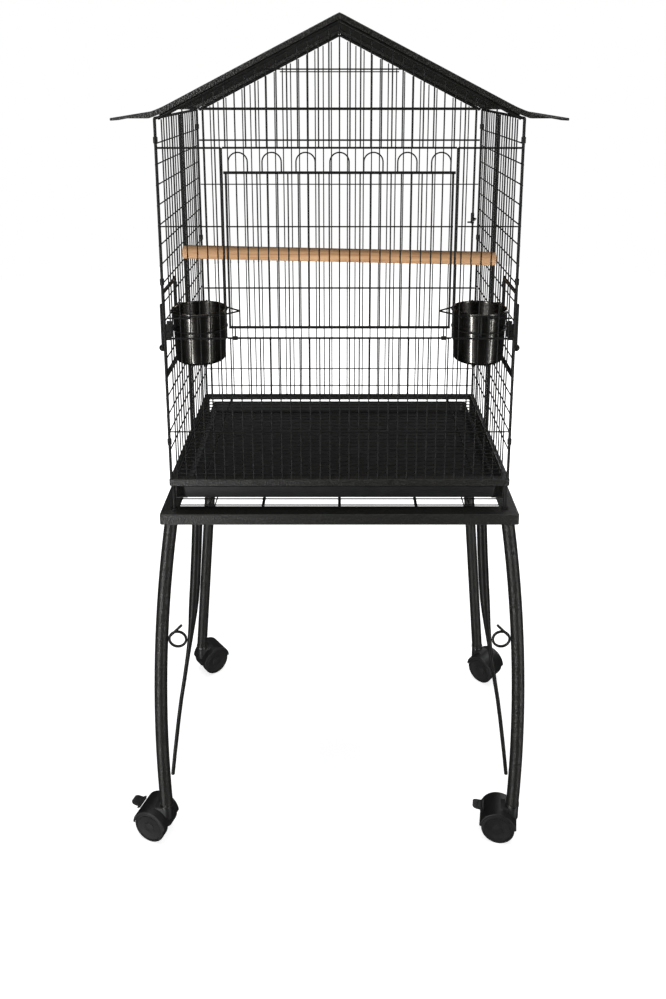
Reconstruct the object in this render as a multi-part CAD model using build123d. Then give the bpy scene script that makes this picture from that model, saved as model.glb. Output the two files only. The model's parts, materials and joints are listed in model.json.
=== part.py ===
"""Bird cage with a gable roof on a wheeled stand, as separate sub-parts.

Millimetres, +Z up, front towards -Y. The origin is on the floor under the middle of the stand.
Each sub-part is written to parts/NAME.step. A welded wire panel is one sub-part: its rods are
separate solids that lie against each other.
"""
import os
from math import cos, radians, sin

from build123d import *

# ---- driving dimensions -------------------------------------------------------------------
CAGE_WIDTH = 480.0          # between the centres of the corner rods, X
CAGE_DEPTH = 330.0          # the same along Y
STAND_TOP = 533.0           # top face of the stand's frame
BASE_BOTTOM, BASE_TOP = 571.0, 581.0    # skirt of the cage's bottom frame
EAVES_Z = 1088.0            # flat underside of the eaves
RIDGE_Z = 1220.0            # top of the roof
WIRE_PITCH = 13.6           # between upright wires, front and back
RUNG_PITCH = 27.2           # between level wires, sides
RUNG_REFERENCE_Z = 946.0    # one rung is level with the middle wire of the front
LAY = 0.02                  # air between two wires that are welded where they cross

WIRE_R = 0.95               # thin wire
FRAME_R = 1.5               # door frames, opening frames
CORNER_R = 2.0              # corner rods

# stand
STAND_HALF_X, STAND_HALF_Y = 256.5, 180.0
RAIL_HEIGHT, RAIL_FLANGE, SHEET = 16.0, 25.0, 1.5
LEG_R, LEG_WALL = 9.5, 1.4
LEG_FOOT_Z = 60.0
PLUG_R, PLUG_HEIGHT = 7.6, 24.0
LEG_TOP_Z = STAND_TOP - SHEET

# doors
DOOR_HINGE_Z, DOOR_BOTTOM_Z, DOOR_TOP_Z = 790.5, 806.0, 1017.5
OPENING_TOP_Z = 1050.0
DOOR_RUNG_Z = 946.0         # level wire half way up the door and beside it
OPENING_HALF = 155.0
DOOR_HALF = 11 * WIRE_PITCH
RUN = 0.05                  # radial clearance of a running fit
KNUCKLE_WALL = 1.4

# feeder doors and cups
FEEDER_FRONT_Y, FEEDER_BACK_Y = -158.0, -80.0
FEEDER_LOW_Z, FEEDER_HIGH_Z = 740.0, 852.0
CUP_X, CUP_Y = 198.2, -122.5
CUP_RIM_Z, CUP_HEIGHT = 822.5, 76.0
CUP_RIM_R, CUP_MOUTH_R, CUP_BASE_R, CUP_WALL = 39.4, 37.4, 35.4, 0.9

# perch
PERCH_Z, PERCH_R = 872.4, 10.5
PERCH_TILT = 1.3            # degrees, the right end lies lower

# casters
WHEEL_R, WHEEL_WIDTH, WHEEL_GAP = 25.0, 15.0, 12.0
CASTER_TRAIL = 20.0
AXLE_R = 3.0
PIN_R = 4.0

HALF_X, HALF_Y = CAGE_WIDTH / 2, CAGE_DEPTH / 2
OUTER_LAY = 2 * WIRE_R + LAY        # level wires lie outside the upright ones


# ---- basic shapes -------------------------------------------------------------------------
def rod(start, end, radius):
    """A straight round rod between two points."""
    a, b = Vector(*start), Vector(*end)
    return Solid.make_cylinder(radius, (b - a).length, Plane(origin=a, z_dir=b - a))


def tube(start, end, outer, inner):
    """A straight round tube between two points."""
    return rod(start, end, outer) - rod(start, end, inner)


def bent_rod(points, radius, bend):
    """A round rod that follows straight runs joined by round bends."""
    path = FilletPolyline(*points, radius=bend)
    section = Plane(origin=path @ 0, z_dir=path % 0) * Circle(radius)
    return sweep(section, path=path)


def block(low, high):
    """A box between two corners."""
    size = [h - l for l, h in zip(low, high)]
    return Pos(*low) * Box(*size, align=(Align.MIN, Align.MIN, Align.MIN))


def prism(outline, height, z):
    """A flat outline in XY, pushed up from z."""
    return Pos(0, 0, z) * extrude(make_face(Polyline(*outline, close=True)), height)


def write(name, *shapes):
    """One sub-part per file: its solids stay separate."""
    solids = [solid for shape in shapes for solid in shape.solids()]
    shape = solids[0] if len(solids) == 1 else Compound(children=solids)
    shape.label = name
    export_step(shape, f"parts/{name}.step")


# ---- stand --------------------------------------------------------------------------------
def angle_ring(half_x, half_y, top, height, flange, sheet):
    """Four mitred angle rails: a skirt that hangs down and a flange that points inwards."""
    rails = []
    for turn in (0, 90, 180, 270):
        across, along = (half_x, half_y) if turn % 180 == 0 else (half_y, half_x)

        def strip(width):
            return [(-across, -along), (across, -along),
                    (across - width, -along + width), (-across + width, -along + width)]

        rail = prism(strip(flange), sheet, top - sheet) + prism(strip(sheet), height, top - height)
        rails.append(Rot(0, 0, turn) * rail)
    return rails


def stand_frame():
    return angle_ring(STAND_HALF_X, STAND_HALF_Y, STAND_TOP, RAIL_HEIGHT, RAIL_FLANGE, SHEET)


def stand_grille():
    """The wire shelf that hangs under the flange of the stand's frame."""
    half_x = STAND_HALF_X - SHEET - 1.0
    half_y = STAND_HALF_Y - SHEET - 1.0
    cross_r = 2.2
    z = STAND_TOP - SHEET - WIRE_R - LAY
    wires = []
    rows = 17
    pitch = 2 * (half_y - 30.0) / (rows - 1)
    for row in range(rows):
        y = -half_y + 30.0 + row * pitch
        wires.append(rod((-half_x + 22.0, y, z), (half_x - 22.0, y, z), WIRE_R))
    for x in (-112.0, 0.0, 112.0):
        wires.append(rod((x, -half_y, z - WIRE_R - cross_r - LAY),
                         (x, half_y, z - WIRE_R - cross_r - LAY), cross_r))
    for x in (-190.0, -182.0, 182.0, 190.0):
        wires.append(rod((x, -half_y, z - OUTER_LAY), (x, half_y, z - OUTER_LAY), WIRE_R))
    return wires


FRONT_LEG = ((240.0, -163.0, 534.0), (264.5, -182.0, 290.0), (264.0, -194.0, 58.0))
REAR_LEG = ((228.0, 158.0, 534.0), (249.0, 168.0, 290.0), (268.5, 171.0, 58.0))


def side_points(points, side):
    return [(side * x, y, z) for x, y, z in points]


def leg(points):
    """A bowed round tube, cut level at both ends."""
    path = ThreePointArc(*points)
    ring = Plane(origin=path @ 0, z_dir=path % 0) * (Circle(LEG_R) - Circle(LEG_R - LEG_WALL))
    bowed = sweep(ring, path=path)
    reach = 400.0
    window = block((-reach, -reach, LEG_FOOT_Z), (reach, reach, LEG_TOP_Z))
    x, y, z = points[2]
    seat = rod((x, y, z), (x, y, LEG_FOOT_Z + PLUG_HEIGHT + RUN), PLUG_R + RUN)
    return (bowed & window) - seat


# a forged stay beside each front leg: (x, z, radius) from the frame down to the foot
STAY_TOP_Y, STAY_FOOT_Y = -170.0, -188.0
STAY = ((203.5, 532.0, 7.5), (207.0, 470.0, 7.5), (210.5, 420.0, 7.5), (212.7, 395.0, 7.2),
        (214.8, 375.0, 6.4), (217.0, 356.0, 5.2), (219.7, 336.0, 4.1), (222.8, 315.0, 3.4),
        (226.5, 292.0, 3.1), (231.4, 262.0, 3.0), (236.5, 233.0, 3.0), (241.4, 200.0, 3.0),
        (245.8, 167.0, 3.0), (249.8, 136.0, 2.9), (253.5, 105.0, 2.8))


def stay_y(z):
    """The stay leans forward evenly from the frame to the foot."""
    (top_x, top_z, top_r), (foot_x, foot_z, foot_r) = STAY[0], STAY[-1]
    return STAY_TOP_Y + (STAY_FOOT_Y - STAY_TOP_Y) * (top_z - z) / (top_z - foot_z)


def front_stay(side):
    """A round bar that is forged down to a thin rod and lands on the foot of the leg."""
    points = [(side * x, stay_y(z), z) for x, z, radius in STAY]
    path = Spline(*points)
    sections = []
    for point, (x, z, radius) in zip(points, STAY):
        u = path.param_at_point(point)
        sections.append(Plane(origin=path @ u, z_dir=path % u) * Circle(radius))
    return loft(sections, ruled=True) & block((-300, -300, 0), (300, 300, LEG_TOP_Z))


RING_X, RING_Z, RING_R, RING_WIRE = 238.7, 331.0, 12.3, 1.9
RING_TAIL = (6.5, 23.0)     # tip of the ring's open end, from its centre


def scroll_ring(side):
    """A wire ring with a straight open end, welded between the leg and the stay."""
    centre = Pos(side * RING_X, stay_y(RING_Z), RING_Z)
    ring = Rot(90, 0, 0) * Torus(RING_R, RING_WIRE)
    start = (side * RING_R * 0.92, 0, RING_R * 0.39)
    end = (side * -RING_TAIL[0], 0, RING_TAIL[1])
    return centre * (ring + rod(start, end, RING_WIRE))


# ---- casters ------------------------------------------------------------------------------
# name, side in X, which leg, direction that the wheels trail in (degrees from +X)
CASTERS = (("front_left", -1, FRONT_LEG, 160.0), ("front_right", 1, FRONT_LEG, 168.0),
           ("rear_left", -1, REAR_LEG, 40.0), ("rear_right", 1, REAR_LEG, 318.0))
BRAKED = ("front_left", "front_right")
HOOD_R, HOOD_WALL = 28.0, 1.6
HUB_PIVOT_Z = 55.0          # top of the swivel boss


def caster_place(side, points, heading):
    x, y, z = points[2]
    return Pos(side * x, y, 0) * Rot(0, 0, heading)


def caster_stem():
    """Plug in the tube, a collar under it and the pin that the caster turns on."""
    plug = rod((0, 0, LEG_FOOT_Z), (0, 0, LEG_FOOT_Z + PLUG_HEIGHT), PLUG_R)
    collar = rod((0, 0, LEG_FOOT_Z - 4.0), (0, 0, LEG_FOOT_Z), LEG_R + 0.8)
    pin = rod((0, 0, 36.0), (0, 0, LEG_FOOT_Z - 4.0), PIN_R)
    return plug + collar + pin


def lying_disc(x, z, radius, y_low, y_high):
    return rod((x, y_low, z), (x, y_high, z), radius)


def caster_hood(braked):
    """Boss on the pin, web between the wheels and the hood over them."""
    half = WHEEL_GAP / 2 + WHEEL_WIDTH + 0.8
    web_half = WHEEL_GAP / 2 - 0.8
    boss = rod((0, 0, 34.0), (0, 0, HUB_PIVOT_Z), 9.5)
    web = lying_disc(CASTER_TRAIL, WHEEL_R, 19.0, -web_half, web_half)
    web += block((0, -web_half, 30.0), (CASTER_TRAIL, web_half, 44.0))
    shell = lying_disc(CASTER_TRAIL, WHEEL_R, HOOD_R, -half, half)
    shell -= lying_disc(CASTER_TRAIL, WHEEL_R, HOOD_R - HOOD_WALL, -half - 1, half + 1)
    shell &= block((-10.0, -half, WHEEL_R + 5.0), (CASTER_TRAIL + HOOD_R, half, 2 * HOOD_R))
    keel = lying_disc(CASTER_TRAIL, WHEEL_R, HOOD_R - 0.4, -web_half, web_half)
    keel &= block((-6.0, -web_half, WHEEL_R), (CASTER_TRAIL + HOOD_R, web_half, 2 * HOOD_R))
    body = boss + web + shell + keel
    body -= rod((0, 0, 33.0), (0, 0, HUB_PIVOT_Z + 1), PIN_R + RUN)
    body -= lying_disc(CASTER_TRAIL, WHEEL_R, AXLE_R + RUN, -half, half)
    if braked:
        body += brake_ears()
    for lean in (-1, 1):
        near, far = lean * (WHEEL_GAP / 2 - 0.4), lean * half
        low, high = min(near, far), max(near, far)
        body -= lying_disc(CASTER_TRAIL, WHEEL_R, HOOD_R - HOOD_WALL, low, high)
    return body


BRAKE_X, BRAKE_Z = CASTER_TRAIL + 24.6, 44.5        # the pedal's cross pin, seen along the axle
BRAKE_BARREL_R, BRAKE_PIN_R, BRAKE_HALF = 2.6, 1.3, 8.6


def brake_ears():
    """Two lugs on the back of the hood that hold the pedal's pin."""
    ears = None
    for lean in (-1, 1):
        near, far = sorted((lean * (BRAKE_HALF + 0.3), lean * (BRAKE_HALF + 2.8)))
        ear = lying_disc(BRAKE_X, BRAKE_Z, 3.2, near, far)
        ear += block((BRAKE_X - 9.0, near, BRAKE_Z - 4.0), (BRAKE_X, far, BRAKE_Z + 3.0))
        ear -= lying_disc(BRAKE_X, BRAKE_Z, BRAKE_PIN_R + RUN, near, far)
        ears = ear if ears is None else ears + ear
    return ears


def caster_wheels():
    """The two wheels on their axle."""
    wheels = []
    for lean in (-1, 1):
        near = lean * WHEEL_GAP / 2
        far = lean * (WHEEL_GAP / 2 + WHEEL_WIDTH)
        low, high = min(near, far), max(near, far)
        wheel = lying_disc(CASTER_TRAIL, WHEEL_R, WHEEL_R, low, high)
        wheel = chamfer(wheel.edges().filter_by(GeomType.CIRCLE), 2.0)
        dish = lying_disc(CASTER_TRAIL, WHEEL_R, 17.0, far - 2.0 * lean, far + lean)
        hub = lying_disc(CASTER_TRAIL, WHEEL_R, 7.0, far - 3.0 * lean, far)
        wheels.append((wheel - dish + hub) - lying_disc(CASTER_TRAIL, WHEEL_R, AXLE_R, -30, 30))
    return wheels


def caster_axle():
    reach = WHEEL_GAP / 2 + WHEEL_WIDTH
    return lying_disc(CASTER_TRAIL, WHEEL_R, AXLE_R, -reach, reach)


def caster_brake():
    """A foot pedal behind the hood, on its own cross pin."""
    reach = BRAKE_HALF + 2.8
    barrel = lying_disc(BRAKE_X, BRAKE_Z, BRAKE_BARREL_R, -BRAKE_HALF, BRAKE_HALF)
    pin = lying_disc(BRAKE_X, BRAKE_Z, BRAKE_PIN_R, -reach, reach)
    pedal = block((BRAKE_X, -BRAKE_HALF, BRAKE_Z - 1.2), (BRAKE_X + 15.0, BRAKE_HALF, BRAKE_Z + 1.6))
    pedal = fillet(pedal.edges().filter_by(Axis.Z).group_by(Axis.X)[-1], 4.0)
    return barrel + pedal + pin


# ---- bottom frame, tray, grate --------------------------------------------------------------
BASE_HALF_X, BASE_HALF_Y, BASE_FLANGE = HALF_X + 3.0, HALF_Y + 3.0, 12.0
TRAY_HALF, TRAY_LOW, TRAY_HIGH = 226.5, 550.0, 570.0
TRAY_WALL = 1.2
RUNNER_X = 234.5


def base_frame():
    return angle_ring(BASE_HALF_X, BASE_HALF_Y, BASE_TOP, BASE_TOP - BASE_BOTTOM, BASE_FLANGE, SHEET)


def tray_runners():
    """Two bent rails that hang from the bottom frame's side flanges and carry the tray."""
    rails = []
    reach = HALF_Y - 6.0
    for side in (-1, 1):
        inner, web, outer = side * 219.0, side * RUNNER_X, side * (RUNNER_X + SHEET)
        lip_low = TRAY_LOW - 0.3 - SHEET
        lip = block((min(inner, outer), -reach, lip_low), (max(inner, outer), reach, lip_low + SHEET))
        wall = block((min(web, outer), -reach, lip_low), (max(web, outer), reach, BASE_TOP - SHEET))
        rails.append(lip + wall)
    return rails


def cage_feet():
    feet = []
    for x in (-238.0, 238.0):
        for y in (-163.0, 163.0):
            post = rod((x, y, STAND_TOP), (x, y, BASE_TOP - SHEET), 2.4)
            feet.append(post + rod((x, y, STAND_TOP), (x, y, STAND_TOP + 2.0), 5.0))
    return feet


def tray():
    """A shallow pan with a plain front, rolled over at its rim."""
    front, back = -HALF_Y - 1.0, HALF_Y - 6.0
    pan = block((-TRAY_HALF, front, TRAY_LOW), (TRAY_HALF, back, TRAY_HIGH))
    pan -= block((-TRAY_HALF + TRAY_WALL, front + TRAY_WALL, TRAY_LOW + TRAY_WALL),
                 (TRAY_HALF - TRAY_WALL, back - TRAY_WALL, TRAY_HIGH + 1))
    rim = block((-TRAY_HALF, front, TRAY_HIGH - 1.2), (TRAY_HALF, back, TRAY_HIGH))
    rim -= block((-TRAY_HALF + 5.0, front + 5.0, TRAY_LOW), (TRAY_HALF - 5.0, back - 5.0, TRAY_HIGH + 1))
    return pan + rim


GRATE_Z = BASE_TOP + WIRE_R + 0.3
GRATE_HALF_X, GRATE_HALF_Y, GRATE_ROWS = 235.5, 151.0, 24


def floor_grate():
    wires = []
    for row in range(GRATE_ROWS):
        y = -GRATE_HALF_Y + row * 2 * GRATE_HALF_Y / (GRATE_ROWS - 1)
        wires.append(rod((-GRATE_HALF_X, y, GRATE_Z), (GRATE_HALF_X, y, GRATE_Z), WIRE_R))
    below = GRATE_Z - WIRE_R - FRAME_R - LAY
    above = GRATE_Z + WIRE_R + FRAME_R + LAY
    for x, z in ((-193.0, below), (0.0, below), (193.0, below), (-233.5, above), (233.5, above)):
        wires.append(rod((x, -GRATE_HALF_Y - 2, z), (x, GRATE_HALF_Y + 2, z), FRAME_R))
    return wires


# ---- roof -----------------------------------------------------------------------------------
ROOF_SLOPE = 0.513          # drop for each millimetre out from the ridge
FLARE_X, TIP_X, TIP_Z = 222.0, 296.0, 1088.5
ROOF_OVERHANG = 6.0
FASCIA = 8.0                # depth of the turned-down edge, measured upright
ROOF_SHEET = 1.4
GABLE_R = 2.5


def roof_height(x):
    """Height of the roof's top face, on its straight part."""
    return RIDGE_Z - ROOF_SLOPE * abs(x)


def roof_strip(drop_top, drop_bottom):
    """The band between the roof's outline lowered by two amounts, as a face in XZ."""
    slope = Line((0, RIDGE_Z), (FLARE_X, roof_height(FLARE_X)))
    flare = TangentArc(slope @ 1, (TIP_X, TIP_Z), tangent=slope % 1)
    top, low = Pos(0, -drop_top), Pos(0, -drop_bottom)
    edges = [top * slope, top * flare, low * slope, low * flare,
             Line((0, RIDGE_Z - drop_top), (0, RIDGE_Z - drop_bottom)),
             Line((TIP_X, TIP_Z - drop_top), (TIP_X, TIP_Z - drop_bottom))]
    return Plane.XZ * make_face(edges)


def facing(shape, side):
    """The right-hand half as it is, or mirrored to the left."""
    return shape if side > 0 else mirror(shape, about=Plane.YZ)


def roof_panel(side):
    """One slope of the sheet-metal roof with its flared eaves."""
    half_y = HALF_Y + ROOF_OVERHANG
    sheet = Pos(0, half_y, 0) * extrude(roof_strip(0, ROOF_SHEET), 2 * half_y)
    seam = block((0.0, -half_y, 1000.0), (0.1, half_y, RIDGE_Z + 1))
    return facing(sheet - seam, side)


def roof_fascia(face_y):
    """The turned-down edge under both slopes, at the front or the back."""
    band = extrude(roof_strip(ROOF_SHEET + LAY, FASCIA), ROOF_SHEET)
    band &= block((0.1, -10, EAVES_Z), (TIP_X, 10, RIDGE_Z))
    outer = face_y * (HALF_Y + ROOF_OVERHANG)
    y = outer + ROOF_SHEET if face_y < 0 else outer
    return [Pos(0, y, 0) * facing(band, side) for side in (-1, 1)]


def gable_frame(face_y):
    """Two sloping rods under the fascia, which the gable's wires run up to."""
    y = face_y * HALF_Y
    drop = FASCIA + GABLE_R + 0.6
    low_x = (RIDGE_Z - drop - EAVES_Z) / ROOF_SLOPE
    rods = [rod((side * 1.2, y, RIDGE_Z - drop), (side * low_x, y, EAVES_Z), GABLE_R)
            for side in (-1, 1)]
    return rods


def wire_top(x):
    """Where an upright wire of the front or back ends under the roof."""
    under_gable = roof_height(x) - FASCIA - 2 * GABLE_R - 1.6
    return max(under_gable, EAVES_Z - 2.0)


# ---- wire panels ----------------------------------------------------------------------------
def level_wire(half_length, face_y, z, radius=WIRE_R):
    y = face_y * (HALF_Y + WIRE_R + radius + LAY)
    return rod((-half_length, y, z), (half_length, y, z), radius)


def gable_wires(face_y):
    """Level wires that fit inside the gable."""
    wires = []
    for z in (1101.0, 1150.0) if face_y < 0 else (1150.0,):
        reach = (RIDGE_Z - FASCIA - 2 * GABLE_R - 6.0 - z) / ROOF_SLOPE
        wires.append(level_wire(reach, face_y, z))
    return wires


def upright_wires(face_y, opening=None):
    """The upright wires of the front or back, cut where the door opening is."""
    y = face_y * HALF_Y
    wires = []
    for k in range(-17, 18):
        x = k * WIRE_PITCH
        if opening and abs(x) < opening[0]:
            wires.append(rod((x, y, BASE_TOP), (x, y, opening[1]), WIRE_R))
            wires.append(rod((x, y, opening[2]), (x, y, wire_top(x)), WIRE_R))
        else:
            wires.append(rod((x, y, BASE_TOP), (x, y, wire_top(x)), WIRE_R))
    for x in (-HALF_X, HALF_X):
        wires.append(rod((x, y, BASE_TOP), (x, y, EAVES_Z), CORNER_R))
    return wires


HINGE_WIRE_R, OPENING_TOP_R = 1.4, 1.4


def front_panel():
    y = -HALF_Y
    below = DOOR_HINGE_Z - HINGE_WIRE_R - LAY
    above = OPENING_TOP_Z + OPENING_TOP_R + LAY
    wires = upright_wires(-1, (OPENING_HALF, below, above))
    edge = HALF_X - CORNER_R - 0.1
    for z in (653.5,):
        wires.append(level_wire(edge, -1, z))
    for side in (-1, 1):
        inner, y_level = side * (OPENING_HALF + 2.2), -HALF_Y - OUTER_LAY
        wires.append(rod((inner, y_level, DOOR_RUNG_Z), (side * edge, y_level, DOOR_RUNG_Z), WIRE_R))
        jamb = side * OPENING_HALF
        wires.append(rod((jamb, y, DOOR_HINGE_Z), (jamb, y, OPENING_TOP_Z), FRAME_R))
        for z, radius in ((OPENING_TOP_Z, OPENING_TOP_R), (DOOR_HINGE_Z, HINGE_WIRE_R)):
            wires.append(rod((jamb, y_level - 0.5, z), (side * edge, y_level - 0.5, z), radius))
    for z, radius in ((OPENING_TOP_Z, OPENING_TOP_R), (DOOR_HINGE_Z, HINGE_WIRE_R)):
        reach = OPENING_HALF - FRAME_R - LAY
        wires.append(rod((-reach, y, z), (reach, y, z), radius))
    return wires + gable_wires(-1)


def back_panel():
    edge = HALF_X - CORNER_R - 0.1
    wires = upright_wires(1)
    for z, radius in ((597.0, WIRE_R), (629.0, WIRE_R), (778.5, FRAME_R), (962.0, WIRE_R),
                      (1037.0, FRAME_R)):
        wires.append(level_wire(edge, 1, z, radius))
    y, z = HALF_Y + GABLE_R + CORNER_R + LAY, EAVES_Z + 1.0
    wires.append(rod((-edge, y, z), (edge, y, z), CORNER_R))
    return wires + gable_wires(1)


SIDE_PITCH = 18.0
FEEDER_JAMB_Y = FEEDER_BACK_Y + 2.0
FEEDER_GAP = 4.0            # between the opening's rods and the feeder door


def side_panel(side):
    """Uprights inside, level rungs outside, with the feeder opening behind the front corner."""
    x = side * HALF_X
    rung_x = side * (HALF_X + OUTER_LAY)
    low, high = FEEDER_LOW_Z - FEEDER_GAP, FEEDER_HIGH_Z + FEEDER_GAP
    top = EAVES_Z - CORNER_R
    wires = []
    for k in range(-6, 9):
        y = k * SIDE_PITCH
        if k == 0:
            inner = side * (HALF_X + WIRE_R - CORNER_R)
            wires.append(rod((inner, y, BASE_TOP), (inner, y, top), CORNER_R))
        elif y < FEEDER_JAMB_Y:
            wires.append(rod((x, y, BASE_TOP), (x, y, low - FRAME_R), WIRE_R))
            wires.append(rod((x, y, high + FRAME_R), (x, y, top), WIRE_R))
        else:
            wires.append(rod((x, y, BASE_TOP), (x, y, top), WIRE_R))
    edge = HALF_Y - CORNER_R - 0.1
    for k in range(-12, 5):
        z = RUNG_REFERENCE_Z + k * RUNG_PITCH
        front = FEEDER_JAMB_Y + FRAME_R if low < z < high else -edge
        wires.append(rod((rung_x, front, z), (rung_x, edge, z), WIRE_R))
    wires.append(rod((x, -edge, EAVES_Z), (x, edge, EAVES_Z), CORNER_R - 0.02))
    for z in (low, high):
        wires.append(rod((x, -edge, z), (x, FEEDER_JAMB_Y - FRAME_R, z), FRAME_R))
    wires.append(rod((x, FEEDER_JAMB_Y, low - 2), (x, FEEDER_JAMB_Y, high + 2), FRAME_R - 0.02))
    return wires


# ---- main door ------------------------------------------------------------------------------
ARCH_COUNT, ARCH_PITCH, ARCH_R, ARCH_LEG = 7, 44.5, 12.6, 12.0
DOOR_BAR_R = 1.9


def knuckle_radius(pin):
    return pin + RUN + KNUCKLE_WALL


def door_arch(x):
    """A loop of wire that stands on the door's top bar."""
    y, low = -HALF_Y, DOOR_TOP_Z + DOOR_BAR_R + LAY
    left, right = (x - ARCH_R, y, low), (x + ARCH_R, y, low)
    spring = low + ARCH_LEG
    path = Wire([Edge.make_line(left, (x - ARCH_R, y, spring)),
                 Edge.make_three_point_arc((x - ARCH_R, y, spring), (x, y, spring + ARCH_R),
                                           (x + ARCH_R, y, spring)),
                 Edge.make_line((x + ARCH_R, y, spring), right)])
    return sweep(Plane(origin=left, z_dir=(0, 0, 1)) * Circle(WIRE_R), path=path)


def main_door():
    """Drop-down door: wires in a frame, arches on its top bar, two eyes on the hinge wire."""
    y = -HALF_Y
    reach = DOOR_HALF + 1.5
    top_reach = OPENING_HALF - FRAME_R - 0.8
    low, high = DOOR_BOTTOM_Z + DOOR_BAR_R, DOOR_TOP_Z - DOOR_BAR_R
    solids = []
    for k in range(-10, 11):
        solids.append(rod((k * WIRE_PITCH, y, low), (k * WIRE_PITCH, y, high), WIRE_R))
    for side in (-1, 1):
        solids.append(rod((side * DOOR_HALF, y, low), (side * DOOR_HALF, y, high), FRAME_R))
    solids.append(rod((-reach, y - OUTER_LAY - 0.6, DOOR_RUNG_Z), (reach, y - OUTER_LAY - 0.6, DOOR_RUNG_Z), WIRE_R))
    top_bar = rod((-top_reach, y, DOOR_TOP_Z), (top_reach, y, DOOR_TOP_Z), DOOR_BAR_R)
    for place in range(ARCH_COUNT):
        solids += door_arch((place - (ARCH_COUNT - 1) / 2) * ARCH_PITCH).solids()
    bottom_bar = rod((-reach, y, DOOR_BOTTOM_Z), (reach, y, DOOR_BOTTOM_Z), DOOR_BAR_R)
    for side in (-1, 1):
        x, outer = side * 10.5 * WIRE_PITCH, knuckle_radius(HINGE_WIRE_R)
        eye = tube((x - 3, y, DOOR_HINGE_Z), (x + 3, y, DOOR_HINGE_Z), outer, HINGE_WIRE_R + RUN)
        link = rod((x, y, DOOR_HINGE_Z + HINGE_WIRE_R + 0.6), (x, y, DOOR_BOTTOM_Z), WIRE_R)
        bottom_bar += eye + link
    return solids + top_bar.solids() + bottom_bar.solids()


LATCH_X, LATCH_LOW_Z, LATCH_HIGH_Z = 13 * WIRE_PITCH, 950.0, 964.0
LATCH_OPEN = 70.0           # degrees away from its locked place


def door_latch():
    """A hook that swings on one upright wire; it stands open, clear of the door."""
    y = -HALF_Y
    z = (LATCH_LOW_Z + LATCH_HIGH_Z) / 2
    eye = tube((LATCH_X, y, LATCH_LOW_Z), (LATCH_X, y, LATCH_HIGH_Z), WIRE_R + RUN + 1.3, WIRE_R + RUN)
    arm = bent_rod([(LATCH_X, y - 1.8, z), (LATCH_X - 4, y - 5.5, z), (LATCH_X - 31, y - 5.5, z),
                    (LATCH_X - 34, y - 0.5, z)], 1.1, 1.6)
    pivot = Pos(LATCH_X, y, 0)
    return pivot * Rot(0, 0, LATCH_OPEN) * pivot.inverse() * (eye + arm)


# ---- feeder doors, their bolts, cups and cup holders ------------------------------------------
FEEDER_FRAME_R, FEEDER_RAIL_R = 1.2, 1.1
BOLT_R, BOLT_Z = 1.3, 797.0
BOLT_X = HALF_X - CORNER_R - BOLT_R - 0.4
BOLT_BACK_Y = -138.5
HANDLE_X, HANDLE_Y = HALF_X + 7.0, -147.5
HANDLE_LOW_Z, HANDLE_HIGH_Z = 771.0, 833.0


def feeder_door(side):
    """A small wire door that swings out on the opening's rear rod."""
    x = side * HALF_X
    rung_x = side * (HALF_X + FEEDER_FRAME_R + WIRE_R + LAY)
    front, back = FEEDER_FRONT_Y, FEEDER_BACK_Y - 7.0
    low, high = FEEDER_LOW_Z, FEEDER_HIGH_Z
    frame = rod((x, back, low - FEEDER_FRAME_R), (x, back, high + FEEDER_FRAME_R), FEEDER_FRAME_R)
    frame += rod((x, front, low - FEEDER_FRAME_R), (x, front, high + FEEDER_FRAME_R), FEEDER_FRAME_R)
    for z in (low, high):
        frame += rod((x, front, z), (x, back, z), FEEDER_RAIL_R)
    for z in (low + 7.0, high - 7.0):
        eye = tube((x, FEEDER_JAMB_Y, z - 4), (x, FEEDER_JAMB_Y, z + 4),
                   knuckle_radius(FRAME_R), FRAME_R - 0.02 + RUN)
        frame += eye + rod((x, back, z), (x, FEEDER_JAMB_Y - FRAME_R - 0.6, z), FEEDER_RAIL_R)
    solids = frame.solids()
    for k in (-7, -6, -5, -4):
        z = RUNG_REFERENCE_Z + k * RUNG_PITCH
        solids.append(rod((rung_x, front - 1, z), (rung_x, back + 1, z), WIRE_R))
    solids.append(rod((x, -6 * SIDE_PITCH, low + FEEDER_FRAME_R), (x, -6 * SIDE_PITCH, high - FEEDER_FRAME_R),
                      WIRE_R))
    for y in (front + 1.0, BOLT_BACK_Y - 3.0):
        inner, outer = side * (BOLT_X - BOLT_R - 1.2), side * (HALF_X + FEEDER_FRAME_R)
        guide = block((min(inner, outer), y - 1.0, BOLT_Z - 12), (max(inner, outer), y + 1.0, BOLT_Z + 11))
        guide -= rod((side * BOLT_X, y - 3, BOLT_Z), (side * BOLT_X, y + 3, BOLT_Z), BOLT_R + RUN)
        solids += guide.solids()
    return solids


def feeder_bolt(side):
    """A bolt that slides behind the corner rod, with an upright handle and a round knob.

    It is drawn back, clear of the corner rod.
    """
    bolt_x, handle_x = side * BOLT_X, side * HANDLE_X
    bolt = rod((bolt_x, -HALF_Y + CORNER_R + 0.6, BOLT_Z), (bolt_x, BOLT_BACK_Y, BOLT_Z), BOLT_R)
    link = rod((bolt_x, HANDLE_Y, BOLT_Z), (handle_x, HANDLE_Y, BOLT_Z), 1.2)
    handle = rod((handle_x, HANDLE_Y, HANDLE_LOW_Z), (handle_x, HANDLE_Y, HANDLE_HIGH_Z), 1.7)
    knob = Pos(handle_x, HANDLE_Y, HANDLE_LOW_Z) * Sphere(5.0)
    tip = Pos(handle_x, HANDLE_Y, HANDLE_HIGH_Z) * Sphere(1.7)
    return bolt + link + handle + knob + tip


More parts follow.
